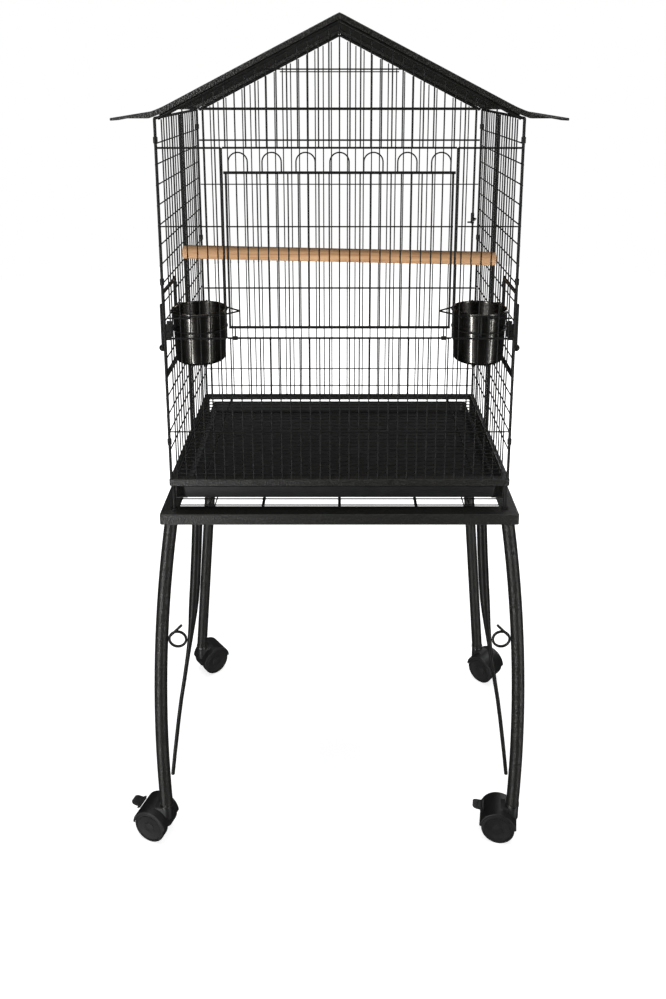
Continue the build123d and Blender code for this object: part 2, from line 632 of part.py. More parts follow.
def cup(side):
    """A drawn steel cup with a flat rim."""
    low = CUP_RIM_Z - CUP_HEIGHT
    profile = make_face(Polyline(
        (0, low), (CUP_BASE_R - 3, low), (CUP_BASE_R, low + 3), (CUP_MOUTH_R, CUP_RIM_Z - 1.2),
        (CUP_RIM_R, CUP_RIM_Z - 1.2), (CUP_RIM_R, CUP_RIM_Z), (CUP_MOUTH_R - CUP_WALL, CUP_RIM_Z),
        (CUP_BASE_R - CUP_WALL, low + 3.5), (CUP_BASE_R - 3.5, low + CUP_WALL), (0, low + CUP_WALL),
        close=True))
    return Pos(side * CUP_X, CUP_Y, 0) * revolve(Plane.XZ * profile, Axis.Z)


HOLDER_R = 1.2
HOLDER_RING_R = CUP_MOUTH_R + HOLDER_R + 0.25
HOLDER_TOP_Z = CUP_RIM_Z - 1.2 - 0.3 - HOLDER_R
HOLDER_LOW_Z = 795.0
HOLDER_POINT = 58.0         # how far the pointed loop reaches from the cup's middle


def ring_of_arcs(radius, wire, z, count=12):
    """A wire ring, as arcs that meet end to end."""
    arcs = []
    span = 360.0 / count
    for k in range(count):
        path = CenterArc((0, 0, z), radius, k * span, span)
        arcs.append(sweep(Plane(origin=path @ 0, z_dir=path % 0) * Circle(wire), path=path))
    return arcs


def cup_holder(side):
    """Two rings round the cup, posts between them, arms to the side wall and a pointed loop."""
    place = Pos(side * CUP_X, CUP_Y, 0)
    under = HOLDER_TOP_Z - 2 * HOLDER_R - LAY
    solids = ring_of_arcs(HOLDER_RING_R, HOLDER_R, HOLDER_TOP_Z)
    solids += ring_of_arcs(HOLDER_RING_R - 0.6, HOLDER_R, HOLDER_LOW_Z)
    touch = HOLDER_RING_R / HOLDER_POINT
    ends = [(-side * HOLDER_RING_R * touch, lean * HOLDER_RING_R * (1 - touch * touch) ** 0.5, under)
            for lean in (-1, 1)]
    tip = (-side * HOLDER_POINT, 0, under)
    solids.append(bent_rod([ends[0], tip, ends[1]], HOLDER_R, 4.0))
    for lean in (-1, 1):
        post_y = lean * (HOLDER_RING_R + 2 * HOLDER_R + LAY)
        solids.append(rod((-side * 4, post_y, HOLDER_LOW_Z - 3), (-side * 4, post_y, HOLDER_TOP_Z + 3),
                          HOLDER_R))
        wall_y = -HALF_Y - CUP_Y + 4.4 if lean < 0 else FEEDER_JAMB_Y - CUP_Y + 0.2
        wall_x = side * (HALF_X - CUP_X - HOLDER_R - FRAME_R - 1.6)
        solids.append(rod((side * 6, lean * (HOLDER_RING_R - 0.4), under), (wall_x, wall_y, under),
                          HOLDER_R))
    return [place * solid for solid in solids]


# ---- perch and small fixings --------------------------------------------------------------------
def perch():
    """A round wooden bar; a slot in each end straddles the thick middle wire of the side."""
    reach = HALF_X + 0.8
    bar = Pos(0, 0, PERCH_Z) * Rot(0, PERCH_TILT, 0) * rod((-reach, 0, 0), (reach, 0, 0), PERCH_R)
    for side in (-1, 1):
        inner, outer = side * (HALF_X - 2 * CORNER_R - 0.4 + WIRE_R), side * (reach + 1)
        bar -= block((min(inner, outer), -CORNER_R - 0.25, PERCH_Z - 20),
                     (max(inner, outer), CORNER_R + 0.25, PERCH_Z + 20))
    return bar


def panel_clips():
    """Bent clips that hold neighbouring panels together at the corner rods."""
    clips = []
    for x in (-HALF_X, HALF_X):
        for y in (-HALF_Y, HALF_Y):
            for z in (638.0, 870.0, 1060.0):
                clips.append(tube((x, y, z - 4), (x, y, z + 4), CORNER_R + 1.0, CORNER_R + 0.02))
    return clips


def roof_clips():
    """Four short straps between the sides' top wires and the roof."""
    clips = []
    for side in (-1, 1):
        under = roof_panel(side)
        for y in (-110.0, 110.0):
            low_x, high_x = sorted((side * (HALF_X - 4.0), side * (HALF_X + 4.0)))
            strap = block((low_x, y - 6, EAVES_Z + CORNER_R), (high_x, y + 6, EAVES_Z + 20))
            clips.append((strap - under).solids().sort_by(Axis.Z)[0])
    return clips


def main():
    os.makedirs("parts", exist_ok=True)
    write("stand_frame", *stand_frame())
    write("stand_grille", *stand_grille())
    write("base_frame", *base_frame())
    write("tray_runners", *tray_runners())
    write("cage_feet", *cage_feet())
    write("tray", tray())
    write("floor_grate", *floor_grate())
    write("front_panel", *front_panel())
    write("back_panel", *back_panel())
    write("panel_clips", *panel_clips())
    write("roof_fascia_front", *roof_fascia(-1))
    write("roof_fascia_back", *roof_fascia(1))
    write("gable_frame_front", *gable_frame(-1))
    write("gable_frame_back", *gable_frame(1))
    write("roof_clips", *roof_clips())
    write("main_door", *main_door())
    write("door_latch", door_latch())
    write("perch", perch())
    for name, side in (("left", -1), ("right", 1)):
        write(f"side_panel_{name}", *side_panel(side))
        write(f"roof_panel_{name}", roof_panel(side))
        write(f"feeder_door_{name}", *feeder_door(side))
        write(f"feeder_bolt_{name}", feeder_bolt(side))
        write(f"cup_{name}", cup(side))
        write(f"cup_holder_{name}", *cup_holder(side))
        write(f"front_stay_{name}", front_stay(side))
        write(f"scroll_ring_{name}", scroll_ring(side))
    for name, side, points, heading in CASTERS:
        place = caster_place(side, points, heading)
        write(f"leg_{name}", leg(side_points(points, side)))
        write(f"caster_stem_{name}", place * caster_stem())
        write(f"caster_hood_{name}", place * caster_hood(name in BRAKED))
        write(f"caster_wheels_{name}", *[place * wheel for wheel in caster_wheels()])
        write(f"caster_axle_{name}", place * caster_axle())
        if name in BRAKED:
            write(f"caster_brake_{name}", place * caster_brake())


if __name__ == "__main__":
    main()
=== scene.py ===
"""Bird cage on a wheeled stand: finishes, detailed pieces, light and camera.

Metres, +Z up, front towards -Y. The origin is on the floor under the middle of the stand.
"""
import json
import math

import bmesh
import bpy
from mathutils import Matrix, Vector


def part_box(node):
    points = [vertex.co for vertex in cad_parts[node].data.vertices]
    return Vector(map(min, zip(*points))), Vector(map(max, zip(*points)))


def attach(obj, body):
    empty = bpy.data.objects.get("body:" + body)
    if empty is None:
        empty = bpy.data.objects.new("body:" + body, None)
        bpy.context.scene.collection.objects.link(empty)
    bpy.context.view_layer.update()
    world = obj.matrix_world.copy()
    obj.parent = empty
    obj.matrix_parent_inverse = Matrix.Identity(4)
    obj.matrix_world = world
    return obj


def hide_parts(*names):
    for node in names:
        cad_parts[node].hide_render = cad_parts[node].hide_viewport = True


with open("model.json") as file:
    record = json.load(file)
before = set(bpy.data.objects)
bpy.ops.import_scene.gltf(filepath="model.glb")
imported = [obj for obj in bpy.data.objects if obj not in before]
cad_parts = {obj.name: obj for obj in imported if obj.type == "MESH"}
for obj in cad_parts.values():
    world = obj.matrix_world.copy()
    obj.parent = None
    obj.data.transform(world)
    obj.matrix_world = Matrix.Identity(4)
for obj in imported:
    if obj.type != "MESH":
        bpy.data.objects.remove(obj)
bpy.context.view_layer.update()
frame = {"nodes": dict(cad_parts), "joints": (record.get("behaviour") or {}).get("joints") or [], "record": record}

NODES = frame["nodes"]
JOINTS = {joint["name"]: joint for joint in frame["joints"]}
SIDES = (("left", -1), ("right", 1))
CASTERS = ("front_left", "front_right", "rear_left", "rear_right")
BRAKED = ("front_left", "front_right")


# ---- materials ------------------------------------------------------------------------------
RANGE_INPUTS = ("From Min", "From Max", "To Min", "To Max")


class Finish:
    """A Principled material and short ways to add procedural detail to it."""

    def __init__(self, name, color, roughness, metallic=0.0, specular=0.5):
        self.material = bpy.data.materials.new(name)
        self.material.use_nodes = True
        self.tree = self.material.node_tree
        self.shader = self.tree.nodes["Principled BSDF"]
        self.shader.inputs["Base Color"].default_value = (*color, 1.0)
        self.shader.inputs["Roughness"].default_value = roughness
        self.shader.inputs["Metallic"].default_value = metallic
        self.shader.inputs["Specular IOR Level"].default_value = specular
        self.place = self.tree.nodes.new("ShaderNodeTexCoord").outputs["Object"]
        self.normal = None

    def link(self, source, target):
        self.tree.links.new(source, target)

    def stretched(self, scale):
        """Coordinates scaled by a different amount along each axis."""
        node = self.tree.nodes.new("ShaderNodeMapping")
        node.inputs["Scale"].default_value = scale
        self.link(self.place, node.inputs["Vector"])
        return node.outputs["Vector"]

    def noise(self, scale, detail=3.0, roughness=0.5, vector=None):
        node = self.tree.nodes.new("ShaderNodeTexNoise")
        node.inputs["Scale"].default_value = scale
        node.inputs["Detail"].default_value = detail
        node.inputs["Roughness"].default_value = roughness
        self.link(vector or self.place, node.inputs["Vector"])
        return node.outputs["Fac"]

    def cells(self, scale):
        node = self.tree.nodes.new("ShaderNodeTexVoronoi")
        node.feature = "SMOOTH_F1"
        node.inputs["Scale"].default_value = scale
        node.inputs["Smoothness"].default_value = 0.6
        self.link(self.place, node.inputs["Vector"])
        return node.outputs["Distance"]

    def spread(self, value, low, high, to_low, to_high):
        """Maps low..high to to_low..to_high, and holds the ends."""
        node = self.tree.nodes.new("ShaderNodeMapRange")
        for name, number in zip(RANGE_INPUTS, (low, high, to_low, to_high)):
            node.inputs[name].default_value = number
        self.link(value, node.inputs["Value"])
        return node.outputs["Result"]

    def ramp(self, value, stops):
        node = self.tree.nodes.new("ShaderNodeValToRGB")
        elements = node.color_ramp.elements
        while len(elements) < len(stops):
            elements.new(0.5)
        for element, (position, color) in zip(elements, stops):
            element.position = position
            element.color = (*color, 1.0)
        self.link(value, node.inputs["Fac"])
        return node.outputs["Color"]

    def color(self, value, stops):
        self.link(self.ramp(value, stops), self.shader.inputs["Base Color"])

    def rough(self, value, low, high):
        self.link(self.spread(value, 0.3, 0.7, low, high), self.shader.inputs["Roughness"])

    def bump(self, value, distance, strength=1.0):
        node = self.tree.nodes.new("ShaderNodeBump")
        node.inputs["Distance"].default_value = distance
        node.inputs["Strength"].default_value = strength
        self.link(value, node.inputs["Height"])
        if self.normal:
            self.link(self.normal, node.inputs["Normal"])
        self.normal = node.outputs["Normal"]
        self.link(self.normal, self.shader.inputs["Normal"])


def black_wire():
    """Satin powder coat on wire: almost black, with a fine orange-peel surface."""
    finish = Finish("black_wire", (0.006, 0.006, 0.0056), 0.38, specular=0.25)
    peel = finish.noise(900.0, 2.0)
    finish.color(finish.noise(60.0), ((0.3, (0.0035, 0.0035, 0.0032)), (0.75, (0.009, 0.009, 0.0084))))
    finish.rough(peel, 0.28, 0.46)
    finish.bump(peel, 0.00006, 0.5)
    return finish.material


def hammertone():
    """Hammered powder coat: dark olive black with small raised cells that catch the light."""
    finish = Finish("hammertone_steel", (0.016, 0.016, 0.0135), 0.36)
    cells = finish.cells(430.0)
    speckle = finish.noise(700.0, 2.0, 0.6)
    finish.color(speckle, ((0.36, (0.0030, 0.0030, 0.0025)), (0.58, (0.0085, 0.0085, 0.0072)),
                           (0.72, (0.034, 0.034, 0.029))))
    finish.rough(speckle, 0.30, 0.52)
    finish.bump(cells, 0.0007, 0.7)
    finish.bump(finish.noise(160.0, 2.0), 0.0004, 0.35)
    return finish.material


def black_plastic():
    """Moulded nylon with a fine spark-eroded grain."""
    finish = Finish("black_plastic", (0.010, 0.010, 0.0105), 0.48, specular=0.45)
    grain = finish.noise(2600.0, 2.0)
    finish.color(finish.noise(45.0), ((0.35, (0.0032, 0.0032, 0.0034)), (0.7, (0.0062, 0.0062, 0.0064))))
    finish.rough(finish.noise(120.0), 0.42, 0.56)
    finish.bump(grain, 0.00004, 0.6)
    return finish.material


def wheel_rubber():
    """Hard black tread, a little duller than the hood."""
    finish = Finish("wheel_rubber", (0.009, 0.009, 0.009), 0.58, specular=0.4)
    scuffs = finish.noise(220.0, 5.0, 0.65)
    finish.color(scuffs, ((0.4, (0.0028, 0.0028, 0.0028)), (0.78, (0.0075, 0.0075, 0.0072))))
    finish.rough(scuffs, 0.5, 0.68)
    finish.bump(finish.noise(1500.0), 0.00005, 0.6)
    return finish.material


def cup_steel():
    """Drawn dark steel, polished, with fine scratches that run round the cup."""
    finish = Finish("cup_steel", (0.16, 0.155, 0.145), 0.16, metallic=1.0)
    turned = finish.noise(1.0, 4.0, 0.6, finish.stretched((30.0, 30.0, 2400.0)))
    finish.color(finish.noise(28.0, 4.0), ((0.3, (0.125, 0.12, 0.11)), (0.75, (0.2, 0.195, 0.185))))
    finish.rough(turned, 0.11, 0.24)
    finish.bump(turned, 0.00003, 0.35)
    return finish.material


def zinc_steel():
    """Dark passivated zinc plate on the caster pins and axles."""
    finish = Finish("zinc_steel", (0.16, 0.16, 0.16), 0.32, metallic=1.0)
    clouds = finish.noise(180.0, 4.0)
    finish.color(clouds, ((0.3, (0.11, 0.11, 0.11)), (0.75, (0.22, 0.22, 0.21))))
    finish.rough(clouds, 0.24, 0.42)
    finish.bump(finish.noise(900.0), 0.00004, 0.4)
    return finish.material


def perch_wood():
    """Straight-grained light hardwood along X, with fine dark pores."""
    finish = Finish("perch_wood", (0.62, 0.36, 0.16), 0.5, specular=0.35)
    bands = finish.noise(1.0, 4.0, 0.6, finish.stretched((6.0, 240.0, 240.0)))
    pores = finish.noise(1.0, 3.0, 0.7, finish.stretched((70.0, 1500.0, 1500.0)))
    finish.color(bands, ((0.26, (0.33, 0.165, 0.072)), (0.46, (0.52, 0.29, 0.145)),
                         (0.62, (0.60, 0.365, 0.195)), (0.8, (0.46, 0.245, 0.115))))
    finish.rough(pores, 0.42, 0.6)
    finish.bump(pores, 0.00018, 0.5)
    finish.bump(bands, 0.0002, 0.3)
    return finish.material


MATERIALS = {"black_wire": black_wire(), "hammertone_steel": hammertone(), "black_plastic": black_plastic(),
             "wheel_rubber": wheel_rubber(), "cup_steel": cup_steel(), "zinc_steel": zinc_steel(),
             "perch_wood": perch_wood()}


# ---- mesh tools -----------------------------------------------------------------------------
def piece(name, mesh, slot, body, *replaced, edge=35.0, place=None):
    """Turns a bmesh into a finished piece that rides on a body and stands for CAD nodes."""
    bmesh.ops.recalc_face_normals(mesh, faces=mesh.faces)
    data = bpy.data.meshes.new(name)
    mesh.to_mesh(data)
    mesh.free()
    if place is not None:
        data.transform(place)
    data.materials.append(MATERIALS[slot])
    data.shade_smooth()
    data.set_sharp_from_angle(angle=math.radians(edge))
    made = bpy.data.objects.new(name, data)
    bpy.context.scene.collection.objects.link(made)
    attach(made, body)
    if replaced:
        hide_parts(*replaced)
    return made


def skin(mesh, rings, closed_across=True, closed_along=False, caps=True):
    """Joins rings of points with quads. The rings all hold the same number of points."""
    rows = [[mesh.verts.new(point) for point in ring] for ring in rings]
    count = len(rows[0])
    pairs = list(zip(rows, rows[1:])) + ([(rows[-1], rows[0])] if closed_along else [])
    last = count if closed_across else count - 1
    for here, there in pairs:
        for k in range(last):
            mesh.faces.new((here[k], here[(k + 1) % count], there[(k + 1) % count], there[k]))
    if caps and not closed_along:
        mesh.faces.new(rows[0])
        mesh.faces.new(rows[-1])
    return rows


def merge(mesh, other):
    """Adds another bmesh to this one and frees it."""
    data = bpy.data.meshes.new("spare")
    other.to_mesh(data)
    other.free()
    mesh.from_mesh(data)
    bpy.data.meshes.remove(data)


def arc_points(centre, radius, start, end, steps):
    """Points on an arc in a plane, angles in degrees."""
    for k in range(steps + 1):
        angle = math.radians(start + (end - start) * k / steps)
        yield (centre[0] + radius * math.cos(angle), centre[1] + radius * math.sin(angle))


def revolve(mesh, profile, segments=64, closed=True):
    """Turns (radius, height) points round Z. A radius of 0 makes a pole."""
    rows = []
    for radius, height in profile:
        if radius == 0:
            rows.append([mesh.verts.new((0, 0, height))])
            continue
        turn = [2 * math.pi * k / segments for k in range(segments)]
        rows.append([mesh.verts.new((radius * math.cos(a), radius * math.sin(a), height)) for a in turn])
    pairs = list(zip(rows, rows[1:])) + ([(rows[-1], rows[0])] if closed else [])
    for here, there in pairs:
        for k in range(segments):
            n = (k + 1) % segments
            corners = [here[k % len(here)], here[n % len(here)],
                       there[n % len(there)], there[k % len(there)]]
            corners = [c for i, c in enumerate(corners) if c not in corners[:i]]
            if len(corners) > 2:
                mesh.faces.new(corners)


def swept(mesh, points, radii, segments=20):
    """A round bar along points, with a radius at each, rounded off at both ends."""
    points = [Vector(p) for p in points]
    rings = []
    tangent = (points[1] - points[0]).normalized()
    across = tangent.orthogonal().normalized()
    for k, point in enumerate(points):
        before, after = points[max(k - 1, 0)], points[min(k + 1, len(points) - 1)]
        tangent = (after - before).normalized()
        across = (across - tangent * across.dot(tangent)).normalized()
        upward = tangent.cross(across)
        turn = [2 * math.pi * s / segments for s in range(segments)]
        rings.append([point + (across * math.cos(a) + upward * math.sin(a)) * radii[k] for a in turn])
    skin(mesh, rings)


def rounded_rectangle(half_x, half_y, corner, z, steps=6):
    """Points round a level rectangle with round corners."""
    points = []
    for quarter, (sx, sy) in enumerate(((1, 1), (-1, 1), (-1, -1), (1, -1))):
        centre = (sx * (half_x - corner), sy * (half_y - corner))
        for x, y in arc_points(centre, corner, 90 * quarter, 90 * quarter + 90, steps):
            points.append((x, y, z))
    return points


def frame_ring(mesh, half_x, half_y, corner, section):
    """A closed section of (inset, z) points, carried round a rectangle with round corners."""
    rings = []
    for inset, z in section:
        rings.append(rounded_rectangle(half_x - inset, half_y - inset, max(corner - inset, 0.0006), z))
    skin(mesh, rings, closed_along=True)


# ---- wood, cups -----------------------------------------------------------------------------
PERCH_R, PERCH_TILT = 0.0105, 1.3       # radius, and degrees down to the right
PERCH_EASE = 0.0012                     # how far the ends are eased
SLOT_HALF, SLOT_INNER = 0.00225, 0.2366     # the slot's half height, and where it starts
SLOT_SPARE = 0.002                      # how far the cutter goes past the end


def perch_dowel():
    """Turned bar with eased ends; each end is slotted over the thick middle wire."""
    low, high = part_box("perch")
    reach, radius, ease = high.x, PERCH_R, PERCH_EASE
    middle_z = (low.z + high.z) / 2
    mesh = bmesh.new()
    stations = [(-reach, radius - ease), (-reach + ease * 0.4, radius - ease * 0.35),
                (-reach + ease, radius)]
    runs, segments, end_gap = 24, 48, 0.004
    stations += [(-reach + end_gap + (2 * reach - 2 * end_gap) * k / runs, radius) for k in range(runs + 1)]
    stations += [(reach - ease, radius), (reach - ease * 0.4, radius - ease * 0.35), (reach, radius - ease)]
    turn = [2 * math.pi * k / segments for k in range(segments)]
    skin(mesh, [[(x, r * math.cos(a), middle_z + r * math.sin(a)) for a in turn] for x, r in stations])
    lean = Matrix.Translation((0, 0, middle_z)) @ Matrix.Rotation(math.radians(PERCH_TILT), 4, "Y")
    lean = lean @ Matrix.Translation((0, 0, -middle_z))
    made = piece("perch_dowel", mesh, "perch_wood", "root", "perch", place=lean)
    cutters = bmesh.new()
    cutter_end = reach + SLOT_SPARE
    size = Vector((cutter_end - SLOT_INNER, 2 * SLOT_HALF, 0.05))
    for side in (-1, 1):
        middle = side * (SLOT_INNER + cutter_end) / 2
        place = Matrix.Translation((middle, 0, middle_z)) @ Matrix.Diagonal((*size, 1))
        bmesh.ops.create_cube(cutters, size=1.0, matrix=place)
    carve(made, cutters)
    return made


def carve(made, cutters):
    """Cuts the cutters' shape out of a piece for good."""
    data = bpy.data.meshes.new("cutter")
    cutters.to_mesh(data)
    cutters.free()
    tool = bpy.data.objects.new("cutter", data)
    bpy.context.scene.collection.objects.link(tool)
    modifier = made.modifiers.new("slot", "BOOLEAN")
    modifier.object = tool
    modifier.solver = "EXACT"
    bpy.context.view_layer.update()
    shaped = bpy.data.meshes.new_from_object(made.evaluated_get(bpy.context.evaluated_depsgraph_get()))
    made.modifiers.clear()
    made.data = shaped
    shaped.set_sharp_from_angle(angle=math.radians(35))
    bpy.data.objects.remove(tool)


CUP_MOUTH_R, CUP_BASE_R, CUP_WALL = 0.0374, 0.0354, 0.0009


def feeding_cup(name, side):
    """Drawn cup: rolled rim, straight wall with a slight taper, rounded foot with a raised middle."""
    low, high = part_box(f"cup_{name}")
    middle = (low + high) / 2
    height, rim_r = high.z - low.z, (high.x - low.x) / 2
    mouth_r, base_r, wall = CUP_MOUTH_R, CUP_BASE_R, CUP_WALL
    bead = (rim_r - mouth_r + wall) / 2
    outer = [(0.0, 0.0016), (base_r - 0.014, 0.0016), (base_r - 0.0125, 0.0008), (base_r - 0.0115, 0.0)]
    outer += list(arc_points((base_r - 0.006, 0.006), 0.006, -90, -4, 8))
    outer += [(base_r + (mouth_r - base_r) * t, 0.006 + (height - 0.0085) * t)
              for t in (0.2, 0.4, 0.6, 0.8, 0.97)]
    rim = list(arc_points((rim_r - bead, height - bead), bead, -150, 150, 12))
    inner = [(mouth_r - wall - (mouth_r - base_r) * t, height - 0.003 - (height - 0.012) * t)
             for t in (0.0, 0.25, 0.5, 0.75, 1.0)]
    inner += list(arc_points((base_r - 0.0062, 0.0072), 0.0052, -4, -90, 8))
    inner += [(base_r - 0.0125, 0.0024), (0.0, 0.0027)]
    mesh = bmesh.new()
    revolve(mesh, outer + rim + inner, segments=96, closed=False)
    place = Matrix.Translation((middle.x, middle.y, low.z))
    return piece(f"cup_{name}_shell", mesh, "cup_steel", f"cup_{name}", f"cup_{name}",
                 edge=50.0, place=place)


# ---- casters --------------------------------------------------------------------------------
WHEEL_R, WHEEL_NEAR, WHEEL_FAR = 0.025, 0.006, 0.021
TRAIL = 0.020               # from the swivel's axis to the axle
HOOD_R, HOOD_HALF = 0.028, 0.0218
HOOD_START, HOOD_END = 6.0, 172.0       # degrees round the axle that the hood covers
BOSS_R, BOSS_LOW, BOSS_HIGH = 0.0095, 0.034, 0.055


def caster_frames(name):
    """Where the swivel is, where the axle is, and the turn that takes X to the trailing side."""
    swivel = Vector(JOINTS[f"caster_{name}_swivel"]["pos_m"])
    hub = Vector(JOINTS[f"wheels_{name}_spin"]["pos_m"])
    heading = math.atan2(hub.y - swivel.y, hub.x - swivel.x)
    turn = Matrix.Rotation(heading, 4, "Z")
    return Matrix.Translation((swivel.x, swivel.y, 0)) @ turn, Matrix.Translation(hub) @ turn


def wheel_pair(name, hub):
    """Two moulded discs: soft-shouldered tread, a rim step and a dished face with a closed hub."""
    profile = [(0.0, WHEEL_NEAR + 0.0006), (0.0065, WHEEL_NEAR), (0.022, WHEEL_NEAR),
               (0.0232, WHEEL_NEAR + 0.0002)]
    profile += list(arc_points((WHEEL_R - 0.002, WHEEL_NEAR + 0.0022), 0.002, -75, 0, 5))
    profile += [(WHEEL_R, WHEEL_NEAR + 0.005), (WHEEL_R, WHEEL_FAR - 0.005)]
    profile += list(arc_points((WHEEL_R - 0.002, WHEEL_FAR - 0.0022), 0.002, 0, 75, 5))
    profile += [(0.0226, WHEEL_FAR), (0.0212, WHEEL_FAR), (0.0208, WHEEL_FAR - 0.0009),
                (0.0196, WHEEL_FAR - 0.0009), (0.0192, WHEEL_FAR - 0.0002), (0.0160, WHEEL_FAR - 0.0004),
                (0.0095, WHEEL_FAR - 0.0012), (0.0086, WHEEL_FAR - 0.0012), (0.0080, WHEEL_FAR - 0.0004),
                (0.0040, WHEEL_FAR), (0.0, WHEEL_FAR + 0.0001)]
    mesh = bmesh.new()
    revolve(mesh, profile, segments=72, closed=False)
    lying = Matrix.Rotation(math.radians(-90), 4, "X")
    other = Matrix.Rotation(math.radians(90), 4, "X")
    copy = mesh.copy()
    bmesh.ops.transform(mesh, matrix=lying, verts=mesh.verts)
    bmesh.ops.transform(copy, matrix=other, verts=copy.verts)
    merge(mesh, copy)
    piece(f"caster_{name}_wheel_pair", mesh, "wheel_rubber", f"wheels_{name}", f"caster_wheels_{name}",
          edge=40.0, place=hub)
    pin = bmesh.new()
    end, ease, radius = WHEEL_FAR - 0.003, 0.0004, 0.003
    revolve(pin, [(0.0, -end), (radius - ease, -end), (radius, -end + ease), (radius, end - ease),
                  (radius - ease, end), (0.0, end)], segments=32, closed=False)
    piece(f"caster_{name}_axle_pin", pin, "zinc_steel", f"wheels_{name}", f"caster_axle_{name}",
          place=hub @ lying)


def hood_section():
    """The hood's section across the wheels, as (radius, y): a shallow channel with lips."""
    lip_r, inside, half = 0.0243, 0.0264, HOOD_HALF
    right = list(arc_points((HOOD_R - 0.0016, half - 0.0016), 0.0016, 0, 90, 6))
    right += [(inside - 0.0006, half), (lip_r, half - 0.0001), (lip_r - 0.0002, half - 0.0004),
              (lip_r, half - 0.0007), (inside, half - 0.0007)]
    left = [(r, -y) for r, y in reversed(right)]
    return left + [(HOOD_R, -0.010), (HOOD_R, 0.0), (HOOD_R, 0.010)] + right


def swivel_hood(name, swivel):
    """One moulding: the hood over both wheels, the web between them and the neck to the pin."""
    mesh = bmesh.new()
    start, end, steps = HOOD_START, HOOD_END, 44
    section = hood_section()
    rings = []
    for k in range(steps + 1):
        angle = math.radians(start + (end - start) * k / steps)
        rings.append([(TRAIL + r * math.cos(angle), y, WHEEL_R + r * math.sin(angle)) for r, y in section])
    skin(mesh, rings)
    for low_angle, high_angle, radius, half in ((0, 180, 0.0268, 0.0050), (0, 360, 0.0190, 0.0046)):
        web(mesh, radius, half, low_angle, high_angle)
    neck(mesh)
    ease = 0.0012
    boss = bmesh.new()
    revolve(boss, [(0.0041, BOSS_LOW), (BOSS_R - ease, BOSS_LOW), (BOSS_R, BOSS_LOW + ease),
                   (BOSS_R, BOSS_HIGH - ease), (BOSS_R - ease * 0.3, BOSS_HIGH - ease * 0.3),
                   (BOSS_R - ease, BOSS_HIGH), (0.0041, BOSS_HIGH)], segments=48)
    merge(mesh, boss)
    piece(f"caster_{name}_hood_moulding", mesh, "black_plastic", f"caster_{name}", f"caster_hood_{name}",
          edge=32.0, place=swivel)


def web(mesh, radius, half, low_angle, high_angle):
    """A flat disc or half disc with eased edges, round the axle."""
    ease, steps = 0.0008, 48
    whole = high_angle - low_angle >= 360
    turns = [math.radians(low_angle + (high_angle - low_angle) * k / steps)
             for k in range(steps if whole else steps + 1)]
    rings = []
    for r, y in ((radius - ease, -half), (radius, -half + ease),
                 (radius, half - ease), (radius - ease, half)):
        rings.append([(TRAIL + r * math.cos(a), y, WHEEL_R + r * math.sin(a)) for a in turns])
    skin(mesh, rings)


def neck(mesh):
    """The thick shoulder that runs from the swivel boss into the top of the hood."""
    rings = []
    for x, half, low, high in ((0.0, 0.0094, 0.0345, 0.0546), (0.004, 0.0096, 0.0345, 0.0546),
                               (0.008, 0.0100, 0.038, 0.0543), (0.012, 0.0106, 0.042, 0.0536),
                               (0.016, 0.0112, 0.046, 0.0530), (TRAIL, 0.0116, 0.050, 0.0526)):
        ease = 0.0022
        outline = [(-half, low), (half, low), (half, high - ease), (half - ease * 0.3, high - ease * 0.3),
                   (half - ease, high), (-half + ease, high), (-half + ease * 0.3, high - ease * 0.3),
                   (-half, high - ease)]
        rings.append([(x, y, z) for y, z in outline])
    skin(mesh, rings)


def brake_pedal(name):
    """A short pedal with a barrel on its pin and three grip ribs."""
    swivel, hub = caster_frames(name)
    pivot = Vector(JOINTS[f"brake_{name}_tilt"]["pos_m"])
    place = Matrix.Translation(pivot) @ swivel.to_3x3().to_4x4()
    mesh = bmesh.new()
    half = 0.0086
    rings = []
    for x, width, low, high in ((-0.0010, half, -0.0010, 0.0018), (0.004, half, -0.0012, 0.0016),
                                (0.009, half * 0.98, -0.0011, 0.0018),
                                (0.0125, half * 0.88, -0.0006, 0.0022),
                                (0.0146, half * 0.66, 0.0000, 0.0025),
                                (0.0150, half * 0.5, 0.0006, 0.0022)):
        ease = 0.0006
        outline = [(-width + ease, low), (width - ease, low), (width, low + ease), (width, high - ease),
                   (width - ease, high), (-width + ease, high), (-width, high - ease), (-width, low + ease)]
        rings.append([(x, y, z) for y, z in outline])
    skin(mesh, rings)
    for x in (0.0055, 0.0080, 0.0105):
        swept(mesh, [(x, -half * 0.7, 0.0018), (x, 0, 0.0019), (x, half * 0.7, 0.0018)], [0.0005] * 3, 8)
    for reach, radius in ((half, 0.0026), (half + 0.0028, 0.0013)):
        barrel = [(0, -reach, 0), (0, -reach * 0.5, 0), (0, reach * 0.5, 0), (0, reach, 0)]
        swept(mesh, barrel, [radius] * len(barrel), 24)
    piece(f"caster_{name}_pedal", mesh, "black_plastic", f"brake_{name}", f"caster_brake_{name}",
          place=place)


# ---- stand, base and tray -------------------------------------------------------------------
RAIL_CORNER, RAIL_SHEET, RAIL_BEND = 0.0035, 0.0015, 0.0016     # plan corner, thickness, outer bend
STAND_FLANGE, BASE_FLANGE = 0.025, 0.012


